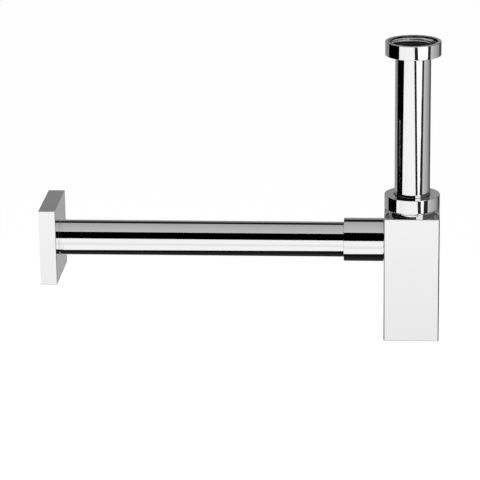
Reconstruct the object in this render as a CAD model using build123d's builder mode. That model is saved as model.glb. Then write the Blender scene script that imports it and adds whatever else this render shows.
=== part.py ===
from build123d import *
import os

# Basin bottle trap: a round inlet tube drops into a square bottle, and a straight outlet pipe
# leaves the bottle's side for a square wall flange. Millimetres, +Z up, outlet towards -X.
# The origin is on the inlet axis, on top of the flat washer where the basin waste seats.

os.makedirs("parts", exist_ok=True)

# Pipework
pipe_od = 32.0
pipe_wall = 1.0
tube_flange_thickness = 1.6
tube_show = 128.5
pipe_show = 259.0
pipe_slack = 8.0
pipe_recess = 1.0
water_seal = 50.0

# Round nuts on the inlet: the 1 1/4 pipe thread's root lies this far outside the pipe
thread_over_pipe = 4.955
thread_depth = 1.48
nut_wall = 4.05
nut_height = 12.5
nut_shoulder = 2.2
nut_mouth_chamfer = 0.6
nut_rim_round = 0.45
nut_entry_chamfer = 0.8
relief_depth = 0.6
washer_thickness = 2.5

# Compression joints
slip_ring_thickness = 1.2
inlet_seal_band = 2.0
outlet_seal_band = 4.0
seal_nose = 0.9
neck_rim_land = 0.75
spigot_rim_land = 0.3

# Square bottle
body_side = 50.0
body_height = 115.0
body_wall = 2.0
top_thickness = 3.0
base_thickness = 8.0
corner_round = 1.0
rim_round = 0.6
neck_show = 4.7
neck_root_step = 2.0
outlet_drop = 26.5

# Outlet spigot and its sleeve nut
spigot_wall = 1.7
spigot_root_step = 1.2
stop_lip = 1.5
stop_lip_length = 2.0
sleeve_wall = 1.45
sleeve_reach = 36.6
sleeve_shoulder = 2.0
sleeve_rim_round = 0.5

# Square wall flange
flange_side = 69.5
flange_depth = 15.0
flange_wall = 1.5
flange_corner_round = 0.8
flange_rim_round = 0.7
flange_boss_wall = 4.2
flange_boss_length = 6.5
grip_ring_section = 2.4

# Cleanout in the base
cleanout_thread = 33.0
cleanout_head_overhang = 3.0
cleanout_head_thickness = 2.3
cleanout_seal_thickness = 1.4
coin_slot_width = 3.0
coin_slot_depth = 1.3
coin_slot_length = 28.0

# Broken edges and lead-ins
edge_break = 0.3
thread_lead = 0.45
spigot_lead = 0.2

# Clearances
play = 0.2
thread_gap = 0.3
sliding_gap = 0.25
entry_gap = 0.3
seal_fit = 0.05
seat_gap = 0.3
solder_gap = 0.05
sleeve_end_gap = 0.4

# Radii that mating pieces share
pipe_r = pipe_od / 2
pipe_bore_r = pipe_r - pipe_wall
guide_r = pipe_r + sliding_gap
entry_r = pipe_r + entry_gap
thread_r = pipe_r + thread_over_pipe
nut_r = thread_r + nut_wall
neck_r = thread_r - thread_gap
washer_r = thread_r - thread_depth - sliding_gap
neck_seat_r = neck_r - neck_rim_land
inlet_seal_r = neck_seat_r - seat_gap
neck_root_r = neck_r - neck_root_step
spigot_r = entry_r + spigot_wall
spigot_seat_r = spigot_r - spigot_rim_land
spigot_root_r = spigot_r - spigot_root_step
outlet_seal_r = spigot_seat_r - seat_gap
sleeve_bore_r = spigot_r + thread_gap
sleeve_r = sleeve_bore_r + sleeve_wall
seal_bore_r = pipe_r + seal_fit
seal_nose_r = seal_bore_r + seal_nose
cleanout_thread_r = cleanout_thread / 2
cleanout_shank_r = cleanout_thread_r - thread_gap
cleanout_pocket_r = cleanout_thread_r + cleanout_head_overhang
cleanout_head_r = cleanout_pocket_r - thread_gap

# Heights down the inlet axis
tube_flange_top = -washer_thickness
tube_flange_bottom = tube_flange_top - tube_flange_thickness
coupling_seat = tube_flange_bottom - play
coupling_bottom = coupling_seat - nut_shoulder
coupling_top = coupling_bottom + nut_height
bottle_nut_top = coupling_bottom - tube_show
bottle_nut_bottom = bottle_nut_top - nut_height
inlet_ring_top = bottle_nut_top - nut_shoulder - play
inlet_ring_bottom = inlet_ring_top - slip_ring_thickness
inlet_seal_top = inlet_ring_bottom - play
neck_top = inlet_seal_top - inlet_seal_band
body_top = bottle_nut_bottom - neck_show
body_bottom = body_top - body_height
chamber_top = body_top - top_thickness
chamber_floor = body_bottom + base_thickness
outlet_z = body_top - outlet_drop
dip_end = outlet_z - pipe_bore_r - water_seal

# Distances out along the outlet axis, from the inlet axis
body_face = body_side / 2
chamber_face = body_face - body_wall
chamber_side = 2 * chamber_face
plate_side = chamber_side - 2 * solder_gap
sleeve_inner = body_face + sleeve_end_gap
sleeve_outer = body_face + sleeve_reach
outlet_ring_outer = sleeve_outer - sleeve_shoulder - play
outlet_ring_inner = outlet_ring_outer - slip_ring_thickness
outlet_seal_outer = outlet_ring_inner - play
spigot_end = outlet_seal_outer - outlet_seal_band
stop_face = body_face + stop_lip_length
pipe_inner = stop_face + pipe_slack
flange_room_face = sleeve_outer + pipe_show
flange_back = flange_room_face + flange_depth
pipe_outer = flange_back - pipe_recess

# Heights in the base
cleanout_head_top = body_bottom + cleanout_head_thickness
cleanout_seal_bottom = cleanout_head_top + play
cleanout_seal_top = cleanout_seal_bottom + cleanout_seal_thickness
cleanout_pocket_top = cleanout_seal_top + play

# Sketch planes: radius against height for the inlet, distance out against radius for the outlet
inlet_axis = Axis.Z
inlet_section = Plane.XZ
outlet_axis = Axis((0, 0, outlet_z), (-1, 0, 0))
outlet_section = Plane(origin=(0, 0, outlet_z), x_dir=(-1, 0, 0), z_dir=(0, 1, 0))


def turn(section, axis, *outline):
    """Turn a closed outline, drawn on the section plane, about the axis."""
    with BuildSketch(section) as profile:
        with BuildLine():
            Polyline(*outline, close=True)
        make_face()
    revolve(profile.sketch, axis=axis)


def rims(solid, radius):
    """The circular edges of the solid that have the given radius."""
    circles = solid.edges().filter_by(GeomType.CIRCLE)
    return circles.filter_by(lambda edge: abs(edge.radius - radius) < 0.001)


# Coupling nut: it hangs on the tube's flange and screws up onto the basin waste
with BuildPart() as coupling_nut:
    turn(
        inlet_section,
        inlet_axis,
        (guide_r, coupling_bottom),
        (nut_r, coupling_bottom),
        (nut_r, coupling_top),
        (thread_r + nut_mouth_chamfer, coupling_top),
        (thread_r, coupling_top - nut_mouth_chamfer),
        (thread_r, 0),
        (thread_r + relief_depth, 0),
        (thread_r + relief_depth, coupling_seat),
        (guide_r, coupling_seat),
    )
    fillet(rims(coupling_nut, nut_r), nut_rim_round)
    chamfer(rims(coupling_nut, guide_r).sort_by(Axis.Z)[0], edge_break)
coupling_nut.part.label = "inlet_coupling_nut"
export_step(coupling_nut.part, "parts/inlet_coupling_nut.step")

# Flat rubber washer between the tube's flange and the basin waste
with BuildPart() as flat_washer:
    with BuildSketch(Plane.XY.offset(tube_flange_top)):
        Circle(washer_r)
        Circle(pipe_bore_r, mode=Mode.SUBTRACT)
    extrude(amount=washer_thickness)
flat_washer.part.label = "inlet_flat_washer"
export_step(flat_washer.part, "parts/inlet_flat_washer.step")

# Inlet tube: flanged at the top, and plain down to the dip end that stands in the water
with BuildPart() as inlet_tube:
    turn(
        inlet_section,
        inlet_axis,
        (pipe_bore_r, dip_end),
        (pipe_r, dip_end),
        (pipe_r, tube_flange_bottom),
        (washer_r, tube_flange_bottom),
        (washer_r, tube_flange_top),
        (pipe_bore_r, tube_flange_top),
    )
    chamfer(rims(inlet_tube, pipe_r).sort_by(Axis.Z)[0], edge_break)
inlet_tube.part.label = "inlet_tube"
export_step(inlet_tube.part, "parts/inlet_tube.step")

# Compression nut on the bottle's neck, with its shoulder at the top
with BuildPart() as bottle_nut:
    turn(
        inlet_section,
        inlet_axis,
        (guide_r, bottle_nut_top),
        (nut_r, bottle_nut_top),
        (nut_r, bottle_nut_bottom),
        (thread_r + nut_mouth_chamfer, bottle_nut_bottom),
        (thread_r, bottle_nut_bottom + nut_mouth_chamfer),
        (thread_r, bottle_nut_top - nut_shoulder),
        (guide_r, bottle_nut_top - nut_shoulder),
    )
    fillet(rims(bottle_nut, nut_r), nut_rim_round)
    chamfer(rims(bottle_nut, guide_r).sort_by(Axis.Z)[-1], nut_entry_chamfer)
bottle_nut.part.label = "bottle_inlet_nut"
export_step(bottle_nut.part, "parts/bottle_inlet_nut.step")

# Slip ring that lets the compression nut turn without dragging the rubber
with BuildPart() as inlet_slip_ring:
    with BuildSketch(Plane.XY.offset(inlet_ring_bottom)):
        Circle(inlet_seal_r)
        Circle(guide_r, mode=Mode.SUBTRACT)
    extrude(amount=slip_ring_thickness)
inlet_slip_ring.part.label = "inlet_slip_ring"
export_step(inlet_slip_ring.part, "parts/inlet_slip_ring.step")

# Cone seal: a band above the neck and a 45 degree nose in the neck's seat
with BuildPart() as inlet_cone_seal:
    turn(
        inlet_section,
        inlet_axis,
        (seal_bore_r, inlet_seal_top),
        (inlet_seal_r, inlet_seal_top),
        (inlet_seal_r, neck_top),
        (seal_nose_r, neck_top - (inlet_seal_r - seal_nose_r)),
        (seal_bore_r, neck_top - (inlet_seal_r - seal_nose_r)),
    )
inlet_cone_seal.part.label = "inlet_cone_seal"
export_step(inlet_cone_seal.part, "parts/inlet_cone_seal.step")

# Turned neck: threaded outside, conical seat inside, its root soldered through the bottle's top
with BuildPart() as inlet_neck:
    turn(
        inlet_section,
        inlet_axis,
        (entry_r, chamber_top),
        (neck_root_r, chamber_top),
        (neck_root_r, body_top),
        (neck_r, body_top),
        (neck_r, neck_top),
        (neck_seat_r, neck_top),
        (entry_r, neck_top - (neck_seat_r - entry_r)),
    )
    chamfer(rims(inlet_neck, neck_r).sort_by(Axis.Z)[-1], thread_lead)
inlet_neck.part.label = "inlet_neck"
export_step(inlet_neck.part, "parts/inlet_neck.step")

# Square bottle: a length of square tube with a hole for the outlet spigot
with BuildPart() as bottle_body:
    with BuildSketch(Plane.XY.offset(body_bottom)):
        RectangleRounded(body_side, body_side, corner_round)
    extrude(amount=body_height)
    ends = bottle_body.faces().filter_by(Axis.Z)
    fillet(ends.edges(), rim_round)
    with BuildSketch(Plane.XY.offset(body_bottom)):
        Rectangle(chamber_side, chamber_side)
    extrude(amount=body_height, mode=Mode.SUBTRACT)
    with Locations(Plane(origin=(-body_face, 0, outlet_z), z_dir=(-1, 0, 0))):
        Hole(spigot_root_r + solder_gap, depth=body_wall)
bottle_body.part.label = "bottle_body"
export_step(bottle_body.part, "parts/bottle_body.step")

# Top plate, soldered flush into the tube, with a hole for the neck
with BuildPart() as bottle_top:
    with BuildSketch(Plane.XY.offset(chamber_top)):
        Rectangle(plate_side, plate_side)
    extrude(amount=top_thickness)
    with Locations((0, 0, body_top)):
        Hole(neck_root_r + solder_gap, depth=top_thickness)
bottle_top.part.label = "bottle_top"
export_step(bottle_top.part, "parts/bottle_top.step")

# Base plate, soldered flush into the tube, thick enough for the cleanout's thread and sunk head
with BuildPart() as bottle_base:
    with BuildSketch(Plane.XY.offset(body_bottom)):
        Rectangle(plate_side, plate_side)
    extrude(amount=base_thickness)
    with Locations(Plane(origin=(0, 0, body_bottom), z_dir=(0, 0, -1))):
        CounterBoreHole(
            cleanout_thread_r,
            cleanout_pocket_r,
            cleanout_pocket_top - body_bottom,
            depth=base_thickness,
        )
    chamfer(rims(bottle_base, cleanout_pocket_r).sort_by(Axis.Z)[0], edge_break)
bottle_base.part.label = "bottle_base"
export_step(bottle_base.part, "parts/bottle_base.step")

# Outlet spigot: threaded outside, with a seat at its mouth and a lip inside that stops the pipe
with BuildPart() as outlet_spigot:
    turn(
        outlet_section,
        outlet_axis,
        (chamber_face, entry_r - stop_lip),
        (chamber_face, spigot_root_r),
        (body_face, spigot_root_r),
        (body_face, spigot_r),
        (spigot_end, spigot_r),
        (spigot_end, spigot_seat_r),
        (spigot_end - (spigot_seat_r - entry_r), entry_r),
        (stop_face, entry_r),
        (stop_face, entry_r - stop_lip),
    )
    chamfer(rims(outlet_spigot, spigot_r).sort_by(Axis.X)[0], spigot_lead)
outlet_spigot.part.label = "outlet_spigot"
export_step(outlet_spigot.part, "parts/outlet_spigot.step")

# Outlet cone seal, between the spigot's mouth and the slip ring
with BuildPart() as outlet_cone_seal:
    turn(
        outlet_section,
        outlet_axis,
        (outlet_seal_outer, seal_bore_r),
        (outlet_seal_outer, outlet_seal_r),
        (spigot_end, outlet_seal_r),
        (spigot_end - (outlet_seal_r - seal_nose_r), seal_nose_r),
        (spigot_end - (outlet_seal_r - seal_nose_r), seal_bore_r),
    )
outlet_cone_seal.part.label = "outlet_cone_seal"
export_step(outlet_cone_seal.part, "parts/outlet_cone_seal.step")

# Slip ring behind the sleeve nut's shoulder
with BuildPart() as outlet_slip_ring:
    turn(
        outlet_section,
        outlet_axis,
        (outlet_ring_inner, guide_r),
        (outlet_ring_inner, outlet_seal_r),
        (outlet_ring_outer, outlet_seal_r),
        (outlet_ring_outer, guide_r),
    )
outlet_slip_ring.part.label = "outlet_slip_ring"
export_step(outlet_slip_ring.part, "parts/outlet_slip_ring.step")

# Long plain sleeve nut that covers the spigot right up to the bottle
with BuildPart() as sleeve_nut:
    turn(
        outlet_section,
        outlet_axis,
        (sleeve_inner, sleeve_bore_r),
        (sleeve_inner, sleeve_r),
        (sleeve_outer, sleeve_r),
        (sleeve_outer, guide_r),
        (sleeve_outer - sleeve_shoulder, guide_r),
        (sleeve_outer - sleeve_shoulder, sleeve_bore_r),
    )
    fillet(rims(sleeve_nut, sleeve_r), sleeve_rim_round)
    chamfer(rims(sleeve_nut, sleeve_bore_r).sort_by(Axis.X)[-1], edge_break)
sleeve_nut.part.label = "outlet_sleeve_nut"
export_step(sleeve_nut.part, "parts/outlet_sleeve_nut.step")

# Straight outlet pipe from the spigot to the wall
with BuildPart() as outlet_pipe:
    turn(
        outlet_section,
        outlet_axis,
        (pipe_inner, pipe_bore_r),
        (pipe_inner, pipe_r),
        (pipe_outer, pipe_r),
        (pipe_outer, pipe_bore_r),
    )
    chamfer(rims(outlet_pipe, pipe_r), edge_break)
outlet_pipe.part.label = "outlet_pipe"
export_step(outlet_pipe.part, "parts/outlet_pipe.step")

# Square wall flange: a shallow box, open at the wall, with a grooved boss round the pipe
boss_r = guide_r + flange_boss_wall
boss_start = flange_room_face + flange_wall
groove_gap = seal_fit
groove_r = seal_bore_r + grip_ring_section + groove_gap
groove_centre = boss_start + flange_boss_length / 2
groove_half = grip_ring_section / 2 + groove_gap
flange_room_plane = Plane(
    origin=(-flange_room_face, 0, outlet_z), x_dir=(0, -1, 0), z_dir=(-1, 0, 0)
)
with BuildPart() as wall_flange:
    with BuildSketch(flange_room_plane):
        RectangleRounded(flange_side, flange_side, flange_corner_round)
    extrude(amount=flange_depth)
    room_face = wall_flange.faces().sort_by(Axis.X)[-1]
    fillet(room_face.edges(), flange_rim_round)
    with BuildSketch(flange_room_plane.offset(flange_wall)):
        Rectangle(flange_side - 2 * flange_wall, flange_side - 2 * flange_wall)
    extrude(amount=flange_depth - flange_wall, mode=Mode.SUBTRACT)
    with BuildSketch(flange_room_plane.offset(flange_wall)):
        Circle(boss_r)
    extrude(amount=flange_boss_length)
    with Locations(flange_room_plane.offset(flange_wall + flange_boss_length)):
        Hole(guide_r, depth=flange_wall + flange_boss_length)
    with BuildSketch(outlet_section):
        with BuildLine():
            Polyline(
                (groove_centre - groove_half, guide_r - groove_gap),
                (groove_centre + groove_half, guide_r - groove_gap),
                (groove_centre + groove_half, groove_r),
                (groove_centre - groove_half, groove_r),
                close=True,
            )
        make_face()
    revolve(axis=outlet_axis, mode=Mode.SUBTRACT)
    chamfer(rims(wall_flange, guide_r).sort_by(Axis.X)[-1], edge_break)
wall_flange.part.label = "wall_flange"
export_step(wall_flange.part, "parts/wall_flange.step")

# Rubber ring in the boss's groove that grips the pipe
with BuildPart() as grip_ring:
    with BuildSketch(outlet_section):
        with Locations((groove_centre, seal_bore_r + grip_ring_section / 2)):
            Circle(grip_ring_section / 2)
    revolve(axis=outlet_axis)
grip_ring.part.label = "flange_grip_ring"
export_step(grip_ring.part, "parts/flange_grip_ring.step")

# Cleanout plug, flush with the base, with a coin slot across its head
with BuildPart() as cleanout_plug:
    turn(
        inlet_section,
        inlet_axis,
        (0, body_bottom),
        (cleanout_head_r, body_bottom),
        (cleanout_head_r, cleanout_head_top),
        (cleanout_shank_r, cleanout_head_top),
        (cleanout_shank_r, chamber_floor),
        (0, chamber_floor),
    )
    with BuildSketch(Plane.XY.offset(body_bottom)):
        SlotOverall(coin_slot_length, coin_slot_width)
    extrude(amount=coin_slot_depth, mode=Mode.SUBTRACT)
    chamfer(rims(cleanout_plug, cleanout_head_r), edge_break)
    chamfer(rims(cleanout_plug, cleanout_shank_r).sort_by(Axis.Z)[-1], thread_lead)
cleanout_plug.part.label = "cleanout_plug"
export_step(cleanout_plug.part, "parts/cleanout_plug.step")

# Flat rubber seal under the plug's head
with BuildPart() as cleanout_seal:
    with BuildSketch(Plane.XY.offset(cleanout_seal_bottom)):
        Circle(cleanout_head_r)
        Circle(cleanout_thread_r, mode=Mode.SUBTRACT)
    extrude(amount=cleanout_seal_thickness)
cleanout_seal.part.label = "cleanout_seal"
export_step(cleanout_seal.part, "parts/cleanout_seal.step")
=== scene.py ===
import math

import bmesh
import bpy
from mathutils import Matrix, Vector


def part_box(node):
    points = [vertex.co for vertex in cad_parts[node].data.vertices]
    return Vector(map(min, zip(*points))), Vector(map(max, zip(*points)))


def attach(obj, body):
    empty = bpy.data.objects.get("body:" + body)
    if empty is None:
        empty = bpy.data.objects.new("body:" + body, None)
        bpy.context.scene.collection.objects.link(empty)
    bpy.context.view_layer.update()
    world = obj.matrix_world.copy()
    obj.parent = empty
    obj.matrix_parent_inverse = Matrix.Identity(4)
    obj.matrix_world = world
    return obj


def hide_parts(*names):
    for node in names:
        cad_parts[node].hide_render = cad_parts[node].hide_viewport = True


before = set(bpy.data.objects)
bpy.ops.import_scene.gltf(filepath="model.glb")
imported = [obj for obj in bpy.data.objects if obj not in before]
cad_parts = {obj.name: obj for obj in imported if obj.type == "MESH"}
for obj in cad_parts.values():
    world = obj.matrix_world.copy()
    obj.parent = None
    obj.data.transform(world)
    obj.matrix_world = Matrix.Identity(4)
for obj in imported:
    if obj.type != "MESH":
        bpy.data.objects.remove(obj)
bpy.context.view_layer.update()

mm = 0.001
scene = bpy.context.scene


def linearColour(code):
    parts = [int(code[i : i + 2], 16) / 255 for i in (1, 3, 5)]
    return [v / 12.92 if v <= 0.04045 else ((v + 0.055) / 1.055) ** 2.4 for v in parts] + [1.0]


def addNode(tree, kind, settings=None, inputs=None):
    node = tree.nodes.new(kind)
    for name, value in (settings or {}).items():
        setattr(node, name, value)
    for name, value in (inputs or {}).items():
        if isinstance(value, bpy.types.NodeSocket):
            tree.links.new(value, node.inputs[name])
        else:
            node.inputs[name].default_value = value
    return node


def newMaterial(name):
    material = bpy.data.materials.new(name)
    material.use_nodes = True
    material.node_tree.nodes.clear()
    return material, material.node_tree


# Polished chrome plate: a mirror with a cold grey cast. The eye sees crisp bands of the room that
# waver a little where the brass was buffed by hand, and a faint haze in patches.
chromeLook = {
    "colour": "#F2F1F1",
    "hazeSize": 16.0,
    "haze": (0.022, 0.055),
    "waveSize": 13.0,
    "waveHeight": 0.0025,
}
chrome, tree = newMaterial("polishedChromePlate")
coords = addNode(tree, "ShaderNodeTexCoord")
haze = addNode(
    tree,
    "ShaderNodeTexNoise",
    None,
    {"Vector": coords.outputs["Object"], "Scale": 1 / (chromeLook["hazeSize"] * mm), "Detail": 3.0},
)
hazeRange = addNode(
    tree,
    "ShaderNodeMapRange",
    None,
    {
        "Value": haze.outputs[0],
        "From Min": 0.3,
        "From Max": 0.7,
        "To Min": chromeLook["haze"][0],
        "To Max": chromeLook["haze"][1],
    },
)
wave = addNode(
    tree,
    "ShaderNodeTexNoise",
    None,
    {"Vector": coords.outputs["Object"], "Scale": 1 / (chromeLook["waveSize"] * mm), "Detail": 1.0},
)
bump = addNode(
    tree, "ShaderNodeBump", None, {"Height": wave.outputs[0], "Distance": chromeLook["waveHeight"] * mm}
)
shader = addNode(
    tree,
    "ShaderNodeBsdfPrincipled",
    None,
    {
        "Base Color": linearColour(chromeLook["colour"]),
        "Metallic": 1.0,
        "Roughness": hazeRange.outputs[0],
        "Normal": bump.outputs[0],
    },
)
addNode(tree, "ShaderNodeOutputMaterial", None, {"Surface": shader.outputs[0]})

# Bare drawn brass inside the tubes: dull yellow-brown with fine marks and darker stains
brassLook = {
    "light": "#B79A62",
    "dark": "#7E6439",
    "stainSize": 9.0,
    "markSize": 0.5,
    "markDepth": 0.03,
    "roughness": (0.34, 0.55),
}
brass, tree = newMaterial("bareDrawnBrass")
coords = addNode(tree, "ShaderNodeTexCoord")
stain = addNode(
    tree,
    "ShaderNodeTexNoise",
    None,
    {"Vector": coords.outputs["Object"], "Scale": 1 / (brassLook["stainSize"] * mm), "Detail": 5.0},
)
stainColour = addNode(
    tree,
    "ShaderNodeMix",
    {"data_type": "RGBA"},
    {0: stain.outputs[0], 6: linearColour(brassLook["dark"]), 7: linearColour(brassLook["light"])},
)
stainRough = addNode(
    tree,
    "ShaderNodeMapRange",
    None,
    {"Value": stain.outputs[0], "To Min": brassLook["roughness"][1], "To Max": brassLook["roughness"][0]},
)
marks = addNode(
    tree,
    "ShaderNodeTexNoise",
    None,
    {"Vector": coords.outputs["Object"], "Scale": 1 / (brassLook["markSize"] * mm), "Detail": 2.0},
)
bump = addNode(
    tree, "ShaderNodeBump", None, {"Height": marks.outputs[0], "Distance": brassLook["markDepth"] * mm}
)
shader = addNode(
    tree,
    "ShaderNodeBsdfPrincipled",
    None,
    {
        "Base Color": stainColour.outputs[2],
        "Metallic": 1.0,
        "Roughness": stainRough.outputs[0],
        "Normal": bump.outputs[0],
    },
)
addNode(tree, "ShaderNodeOutputMaterial", None, {"Surface": shader.outputs[0]})

# Moulded black rubber: soft dark grey with a fine pebbled skin and a pale bloom in patches
rubberLook = {
    "dark": "#0F0F10",
    "bloom": "#212122",
    "bloomSize": 5.0,
    "grainSize": 0.35,
    "grainDepth": 0.04,
    "roughness": (0.5, 0.72),
}
rubber, tree = newMaterial("mouldedBlackRubber")
coords = addNode(tree, "ShaderNodeTexCoord")
bloom = addNode(
    tree,
    "ShaderNodeTexNoise",
    None,
    {"Vector": coords.outputs["Object"], "Scale": 1 / (rubberLook["bloomSize"] * mm), "Detail": 4.0},
)
bloomColour = addNode(
    tree,
    "ShaderNodeMix",
    {"data_type": "RGBA"},
    {0: bloom.outputs[0], 6: linearColour(rubberLook["dark"]), 7: linearColour(rubberLook["bloom"])},
)
bloomRough = addNode(
    tree,
    "ShaderNodeMapRange",
    None,
    {"Value": bloom.outputs[0], "To Min": rubberLook["roughness"][0], "To Max": rubberLook["roughness"][1]},
)
grain = addNode(
    tree,
    "ShaderNodeTexNoise",
    None,
    {"Vector": coords.outputs["Object"], "Scale": 1 / (rubberLook["grainSize"] * mm), "Detail": 2.0},
)
bump = addNode(
    tree, "ShaderNodeBump", None, {"Height": grain.outputs[0], "Distance": rubberLook["grainDepth"] * mm}
)
shader = addNode(
    tree,
    "ShaderNodeBsdfPrincipled",
    None,
    {"Base Color": bloomColour.outputs[2], "Roughness": bloomRough.outputs[0], "Normal": bump.outputs[0]},
)
addNode(tree, "ShaderNodeOutputMaterial", None, {"Surface": shader.outputs[0]})

# Natural nylon: milky ivory, slightly waxy, with a faint cloudiness under the surface
nylonLook = {
    "light": "#EAE6DA",
    "dark": "#D9D3C2",
    "cloudSize": 4.0,
    "grainSize": 0.5,
    "grainDepth": 0.02,
    "roughness": 0.42,
    "glow": 0.12,
    "glowDepth": 0.6,
}
nylon, tree = newMaterial("naturalNylon")
coords = addNode(tree, "ShaderNodeTexCoord")
cloud = addNode(
    tree,
    "ShaderNodeTexNoise",
    None,
    {"Vector": coords.outputs["Object"], "Scale": 1 / (nylonLook["cloudSize"] * mm), "Detail": 3.0},
)
cloudColour = addNode(
    tree,
    "ShaderNodeMix",
    {"data_type": "RGBA"},
    {0: cloud.outputs[0], 6: linearColour(nylonLook["dark"]), 7: linearColour(nylonLook["light"])},
)
grain = addNode(
    tree,
    "ShaderNodeTexNoise",
    None,
    {"Vector": coords.outputs["Object"], "Scale": 1 / (nylonLook["grainSize"] * mm), "Detail": 2.0},
)
bump = addNode(
    tree, "ShaderNodeBump", None, {"Height": grain.outputs[0], "Distance": nylonLook["grainDepth"] * mm}
)
shader = addNode(
    tree,
    "ShaderNodeBsdfPrincipled",
    None,
    {
        "Base Color": cloudColour.outputs[2],
        "Roughness": nylonLook["roughness"],
        "Normal": bump.outputs[0],
        "Subsurface Weight": nylonLook["glow"],
        "Subsurface Scale": nylonLook["glowDepth"] * mm,
    },
)
addNode(tree, "ShaderNodeOutputMaterial", None, {"Surface": shader.outputs[0]})
print("materials ready")


def span(node):
    low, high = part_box(node)
    return Vector(low) / mm, Vector(high) / mm


def roundedOutline(corners, arcSteps=6, support=0.3):
    # Corners are (radius, level, round, divisions of the edge that follows), in millimetres
    points = []
    count = len(corners)
    for i, corner in enumerate(corners):
        here = Vector(corner[:2])
        back = Vector(corners[i - 1][:2]) - here
        ahead = Vector(corners[(i + 1) % count][:2]) - here
        size = corner[2]
        if size == 0:
            points.append(here)
            start = here
        else:
            half = back.angle(ahead) / 2
            reach = size / math.tan(half)
            centre = here + (back.normalized() + ahead.normalized()).normalized() * size / math.sin(half)
            first = here + back.normalized() * reach
            last = here + ahead.normalized() * reach
            begin = math.atan2(first.y - centre.y, first.x - centre.x)
            sweep = math.atan2(last.y - centre.y, last.x - centre.x) - begin
            sweep = (sweep + math.pi) % (2 * math.pi) - math.pi
            points.append(first + back.normalized() * min(support, 0.3 * (back.length - reach)))
            for k in range(arcSteps + 1):
                a = begin + sweep * k / arcSteps
                points.append(centre + Vector((math.cos(a), math.sin(a))) * size)
            start = last + ahead.normalized() * min(support, 0.3 * (ahead.length - reach))
            points.append(start)
        if len(corner) > 3:
            following = corners[(i + 1) % count]
            stop = Vector(following[:2]) - ahead.normalized() * (following[2] + support)
            points += [start.lerp(stop, k / corner[3]) for k in range(1, corner[3])]
    return points


def addObject(name, mesh, *materials):
    piece = bpy.data.objects.new(name, mesh)
    scene.collection.objects.link(piece)
    for material in materials:
        mesh.materials.append(material)
    return piece


def addLathe(name, corners, materials, segments=192, thread=None):
    outline = roundedOutline(corners)
    points, rings = [], []
    for point in outline:
        if point.x < 1e-6:
            rings.append([len(points)] * segments)
            points.append((0, 0, point.y * mm))
            continue
        rings.append(list(range(len(points), len(points) + segments)))
        for k in range(segments):
            a = 2 * math.pi * k / segments
            points.append((point.x * mm * math.cos(a), point.x * mm * math.sin(a), point.y * mm))
    faces = []
    for one, two in zip(rings, rings[1:] + rings[:1]):
        for k in range(segments):
            n = (k + 1) % segments
            corner = list(dict.fromkeys((one[k], two[k], two[n], one[n])))
            if len(corner) > 2:
                faces.append(corner)
    mesh = bpy.data.meshes.new(name)
    mesh.from_pydata(points, [], faces)
    form = bmesh.new()
    form.from_mesh(mesh)
    bmesh.ops.recalc_face_normals(form, faces=form.faces)
    form.to_mesh(mesh)
    form.free()
    mesh.shade_smooth()
    piece = addObject(name, mesh, *materials)
    if thread:
        fade = mesh.attributes.new("threadFade", "FLOAT", "POINT")
        low, high = sorted((thread["from"], thread["to"]))
        for i, vertex in enumerate(mesh.vertices):
            level = vertex.co.z / mm
            near = abs(vertex.co.xy.length / mm - thread["radius"]) < touch
            inside = min((level - low) / thread["rampLow"], (high - level) / thread["rampHigh"])
            fade.data[i].value = max(0.0, min(1.0, inside)) if near else 0.0
    return piece


def bakeModifiers(piece):
    bpy.context.view_layer.update()
    whole = piece.evaluated_get(bpy.context.evaluated_depsgraph_get())
    mesh = bpy.data.meshes.new_from_object(whole)
    old = piece.data
    piece.modifiers.clear()
    piece.data = mesh
    mesh.name = piece.name
    bpy.data.meshes.remove(old)


# Helical thread as a rule: each point of the marked stretch moves out, or in for an inner thread,
# by a rounded ridge that climbs one pitch in a turn
threadTree = bpy.data.node_groups.new("cutThread", "GeometryNodeTree")
threadTree.interface.new_socket("Geometry", in_out="OUTPUT", socket_type="NodeSocketGeometry")
threadInputs = {}
for label, kind in (
    ("Geometry", "NodeSocketGeometry"),
    ("Pitch", "NodeSocketFloat"),
    ("Depth", "NodeSocketFloat"),
    ("Phase", "NodeSocketFloat"),
    ("Finish", "NodeSocketMaterial"),
):
    socket = threadTree.interface.new_socket(label, in_out="INPUT", socket_type=kind)
    threadInputs[label] = socket.identifier
source = addNode(threadTree, "NodeGroupInput")
place = addNode(threadTree, "GeometryNodeInputPosition")
axes = addNode(threadTree, "ShaderNodeSeparateXYZ", None, {0: place.outputs[0]})
mathNode = "ShaderNodeMath"
angle = addNode(threadTree, mathNode, {"operation": "ARCTAN2"}, {0: axes.outputs[1], 1: axes.outputs[0]})
turns = addNode(threadTree, mathNode, {"operation": "DIVIDE"}, {0: angle.outputs[0], 1: 2 * math.pi})
climb = addNode(
    threadTree, mathNode, {"operation": "DIVIDE"}, {0: axes.outputs[2], 1: source.outputs["Pitch"]}
)
lag = addNode(threadTree, mathNode, {"operation": "SUBTRACT"}, {0: climb.outputs[0], 1: turns.outputs[0]})
shifted = addNode(threadTree, mathNode, {"operation": "ADD"}, {0: lag.outputs[0], 1: source.outputs["Phase"]})
saw = addNode(threadTree, mathNode, {"operation": "FRACT"}, {0: shifted.outputs[0]})
centred = addNode(threadTree, mathNode, {"operation": "SUBTRACT"}, {0: saw.outputs[0], 1: 0.5})
distance = addNode(threadTree, mathNode, {"operation": "ABSOLUTE"}, {0: centred.outputs[0]})
ridgeFoot, ridgeCrest = 0.46, 0.05  # distances from the crest line, in parts of a pitch
ridge = addNode(
    threadTree,
    "ShaderNodeMapRange",
    {"interpolation_type": "SMOOTHSTEP"},
    {"Value": distance.outputs[0], "From Min": ridgeFoot, "From Max": ridgeCrest},
)
fade = addNode(threadTree, "GeometryNodeInputNamedAttribute", {"data_type": "FLOAT"}, {"Name": "threadFade"})
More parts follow.
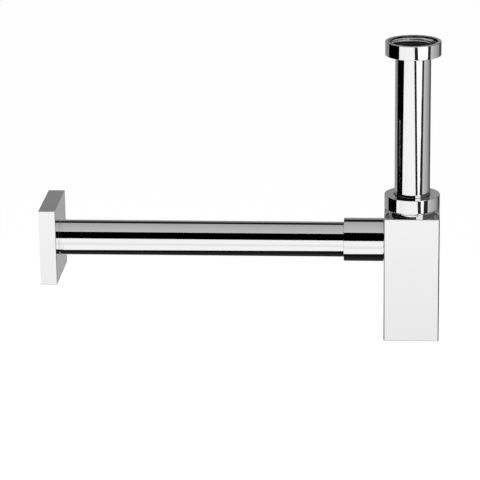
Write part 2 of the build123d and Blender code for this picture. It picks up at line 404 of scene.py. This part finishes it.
height = addNode(
    threadTree, mathNode, {"operation": "MULTIPLY"}, {0: ridge.outputs[0], 1: source.outputs["Depth"]}
)
faded = addNode(threadTree, mathNode, {"operation": "MULTIPLY"}, {0: height.outputs[0], 1: fade.outputs[0]})
flat = addNode(threadTree, "ShaderNodeCombineXYZ", None, {0: axes.outputs[0], 1: axes.outputs[1]})
outward = addNode(threadTree, "ShaderNodeVectorMath", {"operation": "NORMALIZE"}, {0: flat.outputs[0]})
push = addNode(
    threadTree,
    "ShaderNodeVectorMath",
    {"operation": "SCALE"},
    {0: outward.outputs[0], "Scale": faded.outputs[0]},
)
moved = addNode(
    threadTree,
    "GeometryNodeSetPosition",
    None,
    {"Geometry": source.outputs["Geometry"], "Offset": push.outputs[0]},
)
real = addNode(threadTree, "GeometryNodeRealizeInstances", None, {0: moved.outputs[0]})
dressed = addNode(
    threadTree,
    "GeometryNodeSetMaterial",
    None,
    {0: real.outputs[0], "Material": source.outputs["Finish"]},
)
addNode(threadTree, "NodeGroupOutput", None, {0: dressed.outputs[0]})


def cutThread(piece, pitch, depth, phase, finish):
    modifier = piece.modifiers.new("thread", "NODES")
    modifier.node_group = threadTree
    for label, value in (("Pitch", pitch * mm), ("Depth", depth * mm), ("Phase", phase), ("Finish", finish)):
        modifier[threadInputs[label]] = value
    bakeModifiers(piece)
    piece.data.attributes.remove(piece.data.attributes["threadFade"])


def addBox(low, high):
    form = bmesh.new()
    bmesh.ops.create_cube(form, size=1.0)
    for vertex in form.verts:
        vertex.co = [low[k] + (high[k] - low[k]) * (vertex.co[k] + 0.5) for k in range(3)]
    return form


def roundEdges(form, chosen, size, steps):
    edges = [e for e in form.edges if chosen(*(v.co for v in e.verts))]
    bmesh.ops.bevel(
        form, geom=edges, offset=size, segments=steps, profile=0.5, affect="EDGES", clamp_overlap=True
    )


def finishForm(name, form, *materials):
    mesh = bpy.data.meshes.new(name)
    bmesh.ops.recalc_face_normals(form, faces=form.faces)
    form.to_mesh(mesh)
    form.free()
    mesh.transform(Matrix.Scale(mm, 4))
    return addObject(name, mesh, *materials)


def addRod(name, axis, start, stop, radii, segments=192):
    # A round cutter from start to stop along the axis, tapered between its two radii
    form = bmesh.new()
    bmesh.ops.create_cone(
        form, cap_ends=True, segments=segments, radius1=radii[0], radius2=radii[1], depth=stop - start
    )
    bmesh.ops.translate(form, verts=form.verts, vec=(0, 0, (start + stop) / 2))
    mesh = bpy.data.meshes.new(name)
    form.to_mesh(mesh)
    form.free()
    mesh.transform(axis @ Matrix.Scale(mm, 4))
    return addObject(name, mesh)


def cutAway(piece, *cutters):
    for cutter in cutters:
        modifier = piece.modifiers.new("cut", "BOOLEAN")
        modifier.operation = "DIFFERENCE"
        modifier.solver = "EXACT"
        modifier.object = cutter
    bakeModifiers(piece)
    for cutter in cutters:
        mesh = cutter.data
        bpy.data.objects.remove(cutter)
        bpy.data.meshes.remove(mesh)


def flattenShading(piece, sharp=40):
    piece.data.shade_smooth()
    piece.data.set_sharp_from_angle(angle=math.radians(sharp))
    modifier = piece.modifiers.new("flatFaces", "WEIGHTED_NORMAL")
    modifier.keep_sharp = True
    modifier.weight = 100
    bakeModifiers(piece)


def seat(piece, body, slot, *nodes):
    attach(piece, body)
    if nodes:
        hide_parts(*nodes)


def lineBore(piece, radius, index):
    for face in piece.data.polygons:
        if all(abs(piece.data.vertices[v].co.xy.length / mm - radius) < touch for v in face.vertices):
            face.material_index = index


pipeLow, pipeHigh = span("outlet_pipe")
outletLevel = (pipeLow.z + pipeHigh.z) / 2
outletAxis = Matrix(((0, 0, -1, 0), (0, 1, 0, 0), (1, 0, 0, outletLevel * mm), (0, 0, 0, 1)))
bodyLow, bodyHigh = span("bottle_body")
bodyTop, bodyBottom, bodyFace = bodyHigh.z, bodyLow.z, bodyHigh.x
washerTop = 0  # the frame's origin lies on top of the flat washer
past = 1  # cutters run this far past the faces that they cut
touch = 0.01  # points closer than this are on the same face

# Coupling nut: plain round nut with an inner thread that shows in its open mouth
couplingNut = {
    "rimRound": 0.3,
    "boreRound": 0.3,
    "bore": 16.25,
    "shoulder": 2.2,
    "relief": 21.555,
    "threadRoot": 20.955,
    "threadDepth": 1.35,
    "threadPitch": 2.309,
    "threadPhase": 0.13,
    "threadRows": 48,
    "entry": 22.0,
    "entryDepth": 2.7,
    "entryCone": 0.5,
    "coneRound": 0.08,
    "edgeRound": 0.12,
}
low, high = span("inlet_coupling_nut")
c = couplingNut
mouth = high.z - c["entryDepth"]
nut = addLathe(
    "couplingNut",
    [
        (c["bore"], low.z, c["boreRound"]),
        (high.x, low.z, c["rimRound"]),
        (high.x, high.z, c["rimRound"]),
        (c["entry"], high.z, c["edgeRound"]),
        (c["entry"], mouth + c["entryCone"], c["coneRound"]),
        (c["threadRoot"], mouth, c["coneRound"], c["threadRows"]),
        (c["threadRoot"], washerTop, c["edgeRound"]),
        (c["relief"], washerTop, c["edgeRound"]),
        (c["relief"], low.z + c["shoulder"], c["edgeRound"]),
        (c["bore"], low.z + c["shoulder"], c["edgeRound"]),
    ],
    [chrome],
    thread={
        "radius": c["threadRoot"],
        "from": washerTop + 0.2,
        "to": mouth - 0.05,
        "rampLow": 0.9,
        "rampHigh": 0.5,
    },
)
cutThread(nut, c["threadPitch"], -c["threadDepth"], c["threadPhase"], chrome)
seat(nut, "coupling_nut", "chrome", "inlet_coupling_nut")

# Inlet tube: flanged at the top, plated outside and bare inside
inletTube = {
    "radius": 16.0,
    "bore": 15.0,
    "flangeThickness": 1.6,
    "endRound": 0.25,
    "rimRound": 0.2,
    "bendRound": 0.4,
    "rows": 24,
}
low, high = span("inlet_tube")
c = inletTube
tube = addLathe(
    "inletTube",
    [
        (c["bore"], low.z, c["endRound"]),
        (c["radius"], low.z, c["endRound"], c["rows"]),
        (c["radius"], high.z - c["flangeThickness"], c["bendRound"]),
        (high.x, high.z - c["flangeThickness"], c["rimRound"]),
        (high.x, high.z, c["rimRound"]),
        (c["bore"], high.z, c["bendRound"], c["rows"]),
    ],
    [chrome, brass],
)
lineBore(tube, c["bore"], 1)
seat(tube, "inlet", "chrome", "inlet_tube")

# Compression nut above the bottle, with its shoulder at the top
bottleNut = {
    "rimRound": 0.3,
    "bore": 16.25,
    "slot": 0.65,
    "slotDepth": 1.6,
    "slotRound": 0.1,
    "shoulder": 2.2,
    "threadRoot": 20.955,
    "threadDepth": 1.15,
    "threadPitch": 2.309,
    "threadPhase": 0.5,
    "threadEnd": 3.5,
    "threadRows": 64,
    "mouthChamfer": 0.6,
    "edgeRound": 0.15,
    "innerRound": 0.12,
}
low, high = span("bottle_inlet_nut")
c = bottleNut
mouth = low.z + c["mouthChamfer"]
nut = addLathe(
    "bottleNut",
    [
        (c["bore"], high.z - c["slotDepth"], c["slotRound"]),
        (c["bore"] + c["slot"], high.z - c["slotDepth"], c["slotRound"]),
        (c["bore"] + c["slot"], high.z, c["innerRound"]),
        (high.x, high.z, c["rimRound"]),
        (high.x, low.z, c["rimRound"]),
        (c["threadRoot"] + c["mouthChamfer"], low.z, c["edgeRound"]),
        (c["threadRoot"], mouth, c["edgeRound"], c["threadRows"]),
        (c["threadRoot"], high.z - c["shoulder"], c["innerRound"]),
        (c["bore"], high.z - c["shoulder"], c["innerRound"]),
    ],
    [chrome],
    thread={
        "radius": c["threadRoot"],
        "from": mouth + 0.1,
        "to": high.z - c["shoulder"] - c["threadEnd"],
        "rampLow": 0.7,
        "rampHigh": 1.6,
    },
)
cutThread(nut, c["threadPitch"], -c["threadDepth"], c["threadPhase"], chrome)
seat(nut, "bottle_nut", "chrome", "bottle_inlet_nut")

# Turned neck: a collar and an undercut show between the bottle and the compression nut, thread above
inletNeck = {
    "rootRadius": 18.655,
    "core": 19.55,
    "threadDepth": 1.15,
    "threadPitch": 2.309,
    "threadPhase": 0.0,
    "threadLead": 0.5,
    "threadRows": 72,
    "collar": 2.6,
    "collarRound": 0.4,
    "undercut": 20.05,
    "undercutTop": 4.2,
    "bore": 16.3,
    "rimLand": 0.3,
    "rootRound": 0.15,
    "edgeRound": 0.1,
    "seatRound": 0.2,
}
low, high = span("inlet_neck")
c = inletNeck
neck = addLathe(
    "inletNeck",
    [
        (c["bore"], low.z, c["rootRound"]),
        (c["rootRadius"], low.z, c["rootRound"]),
        (c["rootRadius"], bodyTop, c["edgeRound"]),
        (high.x, bodyTop, c["edgeRound"]),
        (high.x, bodyTop + c["collar"], c["collarRound"]),
        (c["undercut"], bodyTop + c["collar"], c["edgeRound"]),
        (c["undercut"], bodyTop + c["undercutTop"], c["edgeRound"]),
        (c["core"], bodyTop + c["undercutTop"] + c["threadLead"], c["seatRound"], c["threadRows"]),
        (c["core"], high.z, c["edgeRound"]),
        (c["core"] - c["rimLand"], high.z, c["edgeRound"]),
        (c["bore"], high.z - (c["core"] - c["rimLand"] - c["bore"]), c["seatRound"]),
    ],
    [chrome],
    thread={
        "radius": c["core"],
        "from": bodyTop + c["undercutTop"] + 0.7,
        "to": high.z - 0.1,
        "rampLow": 0.9,
        "rampHigh": 0.9,
    },
)
cutThread(neck, c["threadPitch"], c["threadDepth"], c["threadPhase"], chrome)
seat(neck, "bottle", "chrome", "inlet_neck")
print("inlet pieces turned")

# Square bottle: tube, top and base soldered together, then ground flush and plated as one
bottleBody = {
    "cornerRound": 1.3,
    "rimRound": 0.6,
    "wall": 2.0,
    "top": 3.0,
    "base": 8.0,
    "neckHole": 18.705,
    "outletHole": 16.85,
    "cleanoutHole": 16.5,
    "pocket": 19.5,
    "pocketDepth": 4.1,
    "edgeBreak": 0.3,
}
c = bottleBody
form = addBox(bodyLow, bodyHigh)
roundEdges(form, lambda a, b: abs(a.z - b.z) > bodyFace, c["cornerRound"], 8)
roundEdges(
    form,
    lambda a, b: abs(a.z - b.z) < touch and not bodyBottom + touch <= a.z <= bodyTop - touch,
    c["rimRound"],
    6,
)
bottle = finishForm("bottleBody", form, chrome)
inner = bodyFace - c["wall"]
floorTop = bodyBottom + c["base"]
chamber = finishForm(
    "chamberCutter",
    addBox((-inner, -inner, floorTop), (inner, inner, bodyTop - c["top"])),
)
upright = Matrix.Identity(4)
under = bodyBottom - past
wide = c["pocket"] + c["edgeBreak"] + past
cutAway(
    bottle,
    chamber,
    addRod("neckCutter", upright, bodyTop - c["top"] - past, bodyTop + past, (c["neckHole"], c["neckHole"])),
    addRod("outletCutter", outletAxis, inner - past, bodyFace + past, (c["outletHole"], c["outletHole"])),
    addRod("threadCutter", upright, under, floorTop + past, (c["cleanoutHole"], c["cleanoutHole"])),
    addRod("pocketCutter", upright, under, bodyBottom + c["pocketDepth"], (c["pocket"], c["pocket"])),
    addRod("breakCutter", upright, under, bodyBottom + c["edgeBreak"], (wide, c["pocket"])),
)
flattenShading(bottle)
seat(bottle, "bottle", "chrome", "bottle_body", "bottle_top", "bottle_base")
print("bottle cut:", len(bottle.data.polygons), "faces")

# Outlet spigot under the sleeve, with a fine thread on its outer end
outletSpigot = {
    "rootRadius": 16.8,
    "core": 17.25,
    "threadDepth": 0.7,
    "threadPitch": 1.5,
    "threadPhase": 0.0,
    "threadLead": 0.8,
    "threadRows": 120,
    "threadLength": 13.0,
    "bore": 16.3,
    "lip": 14.8,
    "lipLength": 2.0,
    "rimLand": 0.3,
    "edgeRound": 0.1,
    "seatRound": 0.2,
}
low, high = span("outlet_spigot")
c = outletSpigot
end, inside = -low.x, -high.x
spigotRadius = (high.z - low.z) / 2
spigot = addLathe(
    "outletSpigot",
    [
        (c["lip"], inside, c["edgeRound"]),
        (c["rootRadius"], inside, c["edgeRound"]),
        (c["rootRadius"], bodyFace, c["edgeRound"]),
        (spigotRadius, bodyFace, c["edgeRound"]),
        (spigotRadius, end - c["threadLength"], c["seatRound"]),
        (c["core"], end - c["threadLength"] + c["threadLead"], c["seatRound"], c["threadRows"]),
        (c["core"], end, c["edgeRound"]),
        (c["core"] - c["rimLand"], end, c["edgeRound"]),
        (c["bore"], end - (c["core"] - c["rimLand"] - c["bore"]), c["seatRound"]),
        (c["bore"], bodyFace + c["lipLength"], c["edgeRound"]),
        (c["lip"], bodyFace + c["lipLength"], c["edgeRound"]),
    ],
    [chrome],
    thread={
        "radius": c["core"],
        "from": end - c["threadLength"] + 0.9,
        "to": end - 0.1,
        "rampLow": 0.7,
        "rampHigh": 0.6,
    },
)
cutThread(spigot, c["threadPitch"], c["threadDepth"], c["threadPhase"], chrome)
spigot.data.transform(outletAxis)
seat(spigot, "bottle", "chrome", "outlet_spigot")

# Long plain sleeve nut, its inner end right up to the bottle
sleeveNut = {
    "bore": 18.3,
    "guide": 16.25,
    "shoulder": 2.0,
    "rimRound": 0.5,
    "edgeRound": 0.2,
    "innerRound": 0.12,
    "rows": 12,
}
low, high = span("outlet_sleeve_nut")
c = sleeveNut
sleeveRadius = (high.z - low.z) / 2
sleeve = addLathe(
    "sleeveNut",
    [
        (c["bore"], -high.x, c["edgeRound"]),
        (sleeveRadius, -high.x, c["rimRound"], c["rows"]),
        (sleeveRadius, -low.x, c["rimRound"]),
        (c["guide"], -low.x, c["edgeRound"]),
        (c["guide"], -low.x - c["shoulder"], c["innerRound"]),
        (c["bore"], -low.x - c["shoulder"], c["innerRound"]),
    ],
    [chrome],
)
sleeve.data.transform(outletAxis)
seat(sleeve, "sleeve_nut", "chrome", "outlet_sleeve_nut")

# Straight outlet pipe, plated outside and bare inside
outletPipe = {"bore": 15.0, "endRound": 0.25, "rows": 30}
c = outletPipe
pipeRadius = (pipeHigh.z - pipeLow.z) / 2
pipe = addLathe(
    "outletPipe",
    [
        (c["bore"], -pipeHigh.x, c["endRound"]),
        (pipeRadius, -pipeHigh.x, c["endRound"], c["rows"]),
        (pipeRadius, -pipeLow.x, c["endRound"]),
        (c["bore"], -pipeLow.x, c["endRound"], c["rows"]),
    ],
    [chrome, brass],
)
lineBore(pipe, c["bore"], 1)
pipe.data.transform(outletAxis)
seat(pipe, "outlet_pipe", "chrome", "outlet_pipe")

# Square wall flange: a shallow pressed box with a grooved boss round the pipe
wallFlange = {
    "cornerRound": 0.8,
    "rimRound": 0.7,
    "wall": 1.5,
    "hole": 16.25,
    "edgeBreak": 0.3,
    "bossRadius": 20.45,
    "bossLength": 6.5,
    "grooveRadius": 18.5,
    "grooveWidth": 2.5,
    "grooveRound": 0.12,
    "bossSink": 0.2,
    "bossRound": 0.3,
    "mouthRound": 0.2,
    "sharp": 50,
}
c = wallFlange
low, high = span("wall_flange")
form = addBox(low, high)
roundEdges(form, lambda a, b: abs(a.x - b.x) > touch, c["cornerRound"], 8)
roundEdges(form, lambda a, b: a.x > high.x - touch and b.x > high.x - touch, c["rimRound"], 6)
flange = finishForm("wallFlange", form, chrome)
room = -high.x
hollow = finishForm(
    "hollowCutter",
    addBox(
        (low.x - past, low.y + c["wall"], low.z + c["wall"]),
        (high.x - c["wall"], high.y - c["wall"], high.z - c["wall"]),
    ),
)
wide = c["hole"] + c["edgeBreak"] + past
cutAway(
    flange,
    hollow,
    addRod("holeCutter", outletAxis, room - past, room + c["wall"] + past, (c["hole"], c["hole"])),
    addRod("breakCutter", outletAxis, room - past, room + c["edgeBreak"], (wide, c["hole"])),
)
flattenShading(flange)
seat(flange, "wall_flange", "chrome", "wall_flange")
bossStart = room + c["wall"]
middle = bossStart + c["bossLength"] / 2
half = c["grooveWidth"] / 2
boss = addLathe(
    "flangeBoss",
    [
        (c["hole"], bossStart - c["bossSink"], 0),
        (c["bossRadius"], bossStart - c["bossSink"], 0),
        (c["bossRadius"], bossStart + c["bossLength"], c["bossRound"]),
        (c["hole"], bossStart + c["bossLength"], c["mouthRound"]),
        (c["hole"], middle + half, c["grooveRound"]),
        (c["grooveRadius"], middle + half, c["grooveRound"]),
        (c["grooveRadius"], middle - half, c["grooveRound"]),
        (c["hole"], middle - half, c["grooveRound"]),
    ],
    [chrome],
)
boss.data.set_sharp_from_angle(angle=math.radians(c["sharp"]))
boss.data.transform(outletAxis)
seat(boss, "wall_flange", "chrome")
print("outlet pieces turned")

# Cleanout plug: flush head with a coin slot, and a coarse thread above it
cleanoutPlug = {
    "shank": 15.4,
    "threadDepth": 0.85,
    "threadPitch": 2.0,
    "threadPhase": 0.0,
    "threadRows": 60,
    "headThickness": 2.3,
    "slotLength": 28.0,
    "slotWidth": 3.0,
    "slotDepth": 1.3,
    "edgeRound": 0.3,
    "seatRound": 0.2,
}
c = cleanoutPlug
low, high = span("cleanout_plug")
headTop = low.z + c["headThickness"]
plug = addLathe(
    "cleanoutPlug",
    [
        (0, low.z, 0),
        (high.x, low.z, c["edgeRound"]),
        (high.x, headTop, c["edgeRound"]),
        (c["shank"], headTop, c["seatRound"], c["threadRows"]),
        (c["shank"], high.z, c["edgeRound"]),
        (0, high.z, 0),
    ],
    [chrome],
    thread={"radius": c["shank"], "from": headTop + 0.4, "to": high.z - 0.5, "rampLow": 0.8, "rampHigh": 0.8},
)
cutThread(plug, c["threadPitch"], c["threadDepth"], c["threadPhase"], chrome)
half = c["slotWidth"] / 2
form = addBox(
    (-c["slotLength"] / 2, -half, low.z - past),
    (c["slotLength"] / 2, half, low.z + c["slotDepth"]),
)
nearlyHalf = half * 0.999  # at a full half the two rounds of an end would meet
roundEdges(form, lambda a, b: abs(a.z - b.z) > touch, nearlyHalf, 12)
cutAway(plug, finishForm("slotCutter", form))
flattenShading(plug)
seat(plug, "cleanout_plug", "chrome", "cleanout_plug")

# Seals and slip rings keep their solids and take their materials
seals = ("inlet_flat_washer", "inlet_cone_seal", "outlet_cone_seal", "flange_grip_ring", "cleanout_seal")
slipRings = ("inlet_slip_ring", "outlet_slip_ring")
for nodes, finish in ((seals, rubber), (slipRings, nylon)):
    for node in nodes:
        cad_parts[node].data.materials.clear()
        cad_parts[node].data.materials.append(finish)
print("seals and rings dressed")

# Studio: white all round, a pale floor well below the hanging trap, and cards that only the chrome sees
studio = {
    "floor": -0.62,
    "floorSize": 9.0,
    "floorCentre": -0.15,
    "floorColour": "#F4F4F4",
    "floorGlow": 0.85,
    "cardRadius": 0.95,
    "keyPower": 9.0,
    "keySize": 1.2,
    "keyPlace": (-0.5, -0.6, 1.1),
    "keyTilt": 28,
}
world = bpy.data.worlds.new("whiteStudio")
scene.world = world
world.use_nodes = True
world.node_tree.nodes["Background"].inputs["Color"].default_value = (1, 1, 1, 1)
world.node_tree.nodes["Background"].inputs["Strength"].default_value = 1.0

floorFinish, tree = newMaterial("paleStudioFloor")
path = addNode(tree, "ShaderNodeLightPath")
seen = addNode(
    tree,
    "ShaderNodeMath",
    {"operation": "ADD"},
    {0: path.outputs["Is Camera Ray"], 1: path.outputs["Is Glossy Ray"]},
)
seen = addNode(
    tree,
    "ShaderNodeMath",
    {"operation": "ADD", "use_clamp": True},
    {0: seen.outputs[0], 1: path.outputs["Is Transmission Ray"]},
)
share = addNode(
    tree, "ShaderNodeMath", {"operation": "MULTIPLY"}, {0: seen.outputs[0], 1: studio["floorGlow"]}
)
matt = addNode(tree, "ShaderNodeBsdfDiffuse", None, {"Color": linearColour(studio["floorColour"])})
glow = addNode(tree, "ShaderNodeEmission", None, {"Color": (1, 1, 1, 1), "Strength": 1.0})
blend = addNode(
    tree, "ShaderNodeMixShader", None, {0: share.outputs[0], 1: matt.outputs[0], 2: glow.outputs[0]}
)
addNode(tree, "ShaderNodeOutputMaterial", None, {"Surface": blend.outputs[0]})
form = bmesh.new()
bmesh.ops.create_grid(form, x_segments=1, y_segments=1, size=studio["floorSize"] / 2)
mesh = bpy.data.meshes.new("studioFloor")
form.to_mesh(mesh)
form.free()
mesh.transform(Matrix.Translation((studio["floorCentre"], 0, studio["floor"])))
addObject("studioFloor", mesh, floorFinish)

cardFinish, tree = newMaterial("studioCard")
tone = addNode(tree, "ShaderNodeAttribute", {"attribute_name": "tone"})
glow = addNode(tree, "ShaderNodeEmission", None, {"Color": (1, 1, 1, 1), "Strength": tone.outputs["Fac"]})
addNode(tree, "ShaderNodeOutputMaterial", None, {"Surface": glow.outputs[0]})


def addCard(name, along, across, place, tones):
    # A grid of points from place(s, t), with the tone blended between its four corners
    points = [place(i / along, j / across) for j in range(across + 1) for i in range(along + 1)]
    row = along + 1
    faces = [
        (j * row + i, j * row + i + 1, (j + 1) * row + i + 1, (j + 1) * row + i)
        for j in range(across)
        for i in range(along)
    ]
    mesh = bpy.data.meshes.new(name)
    mesh.from_pydata(points, [], faces)
    layer = mesh.attributes.new("tone", "FLOAT", "POINT")
    for j in range(across + 1):
        for i in range(along + 1):
            s, t = i / along, j / across
            below = tones[0] + (tones[1] - tones[0]) * s
            above = tones[2] + (tones[3] - tones[2]) * s
            layer.data[j * row + i].value = below + (above - below) * t
    card = addObject(name, mesh, cardFinish)
    card.visible_camera = False
    card.visible_diffuse = False
    card.visible_shadow = False
    card.visible_transmission = False


# Upright cards stand on a circle round the inlet tube. Angles are in degrees from the front, positive
# to the right: left and right at the foot, then at the head. Tones go in the same order.
uprightCards = {
    "leftFoot": (-0.61, -0.43, (-113, -35, -115, -67.5), (0.0, 0.0, 0.0, 0.0)),
    "leftBlack": (-0.43, -0.15, (-115, -67.5, -118, -56), (0.0, 0.0, 0.0, 0.0)),
    "leftDark": (-0.15, 0.45, (-118, -56, -124.5, -56), (0.0, 0.0, 0.01, 0.01)),
    "frontLine": (-0.61, -0.15, (40.4, 54.4, 0.2, 13.6), (0.015, 0.015, 0.015, 0.015)),
    "rightBright": (-0.51, -0.15, (45.2, 45.3, 13.6, 65), (1.15, 1.15, 1.15, 1.15)),
    "rightBlack": (-0.61, -0.15, (36, 61.5, 65, 77), (0.02, 0.02, 0.02, 0.02)),
    "rightFoot": (-0.61, -0.426, (61.5, 131, 67.7, 131), (0.3, 0.15, 0.12, 0.06)),
    "rightGrey": (-0.426, -0.15, (67.7, 131, 77, 131), (0.6, 0.25, 0.6, 0.25)),
    "rightDark": (-0.15, 0.45, (55, 131, 55, 131), (0.07, 0.07, 0.1, 0.1)),
    "backLine": (-0.61, 0.66, (131, 166, 131, 166), (0.08, 0.08, 0.08, 0.08)),
    "backGrey": (-0.61, 0.66, (166, 247, 166, 233), (0.46, 0.36, 0.24, 0.0)),
}
for name, (foot, head, angles, tones) in uprightCards.items():

    def onCircle(s, t, foot=foot, head=head, angles=angles):
        left = angles[0] + (angles[2] - angles[0]) * t
        right = angles[1] + (angles[3] - angles[1]) * t
        a = math.radians(left + (right - left) * s)
        reach = studio["cardRadius"]
        return (reach * math.sin(a), -reach * math.cos(a), foot + (head - foot) * t)

    addCard(name, 32, 8, onCircle, tones)

# Long cards lie along the outlet pipe. Each is given by two edges, as distances behind and above
# the pipe's axis, a tone for each edge, its left and right ends, and how far the first edge slants
# back for each metre to the left.
longCards = {
    "frontTopBlack": ((-0.8, 0.114), (-0.8, 1.06), (0.0, 0.0), (-1.3, 0.31), 0.0),
    "overheadGrey": ((-0.60, 0.82), (0.54, 0.82), (0.58, 0.40), (-1.3, 1.0), 0.0),
    "backTopLine": ((0.75, 0.48), (0.75, 1.14), (0.01, 0.01), (-1.3, 1.0), 0.0),
    "backLowLine": ((0.7, -0.21), (0.7, -0.14), (0.01, 0.01), (-0.1, 0.1), 0.0),
    "backThinLine": ((0.93, 0.272), (0.93, 0.298), (0.01, 0.01), (-0.06, 0.06), 0.0),
    "underBlack": ((-0.151, -0.30), (0.36, -0.30), (0.0, 0.05), (-1.3, 1.0), 0.2),
    "frontWhite": ((-0.6, -0.42), (-1.6, -0.42), (0.86, 1.02), (-1.3, 1.0), 0.0),
    "frontFar": ((-1.6, -0.42), (-4.0, -0.42), (1.02, 1.02), (-1.3, 1.0), 0.0),
}
for name, (one, two, shades, ends, slant) in longCards.items():

    def onStrip(s, t, one=one, two=two, ends=ends, slant=slant):
        x = ends[0] + (ends[1] - ends[0]) * s
        edge = one[0] - slant * x
        return (x, edge + (two[0] - edge) * t, outletLevel * mm + one[1] + (two[1] - one[1]) * t)

    addCard(name, 2, 4, onStrip, (shades[0], shades[0], shades[1], shades[1]))

key = bpy.data.lights.new("softKey", "AREA")
key.energy = studio["keyPower"]
key.size = studio["keySize"]
keyLamp = bpy.data.objects.new("softKey", key)
keyTurn = Matrix.Rotation(math.radians(studio["keyTilt"]), 4, "X")
keyLamp.matrix_world = Matrix.Translation(studio["keyPlace"]) @ keyTurn
keyLamp.visible_glossy = False
scene.collection.objects.link(keyLamp)
print("studio set")

# Camera: about 17 degrees above the pipe, a little to the right, far away with a long lens
camera = {
    "yaw": 0.0698,
    "pitch": 0.2965,
    "roll": -0.012,
    "target": (-156.36, 0.0, -180.2),
    "distance": 2361.1,
    "lens": 194.09,
    "sensor": 36.0,
}
yaw, pitch, roll = camera["yaw"], camera["pitch"], camera["roll"]
forward = Vector((-math.sin(yaw) * math.cos(pitch), math.cos(yaw) * math.cos(pitch), -math.sin(pitch)))
right = Vector((math.cos(yaw), math.sin(yaw), 0))
up = right.cross(forward)
right, up = right * math.cos(roll) + up * math.sin(roll), up * math.cos(roll) - right * math.sin(roll)
stand = (Vector(camera["target"]) - forward * camera["distance"]) * mm
lens = bpy.data.cameras.new("photoCamera")
lens.lens = camera["lens"]
lens.sensor_width = camera["sensor"]
view = bpy.data.objects.new("photoCamera", lens)
view.matrix_world = Matrix.Translation(stand) @ Matrix((right, up, -forward)).transposed().to_4x4()
scene.collection.objects.link(view)
scene.camera = view
scene.view_settings.view_transform = "Standard"
print("camera set")
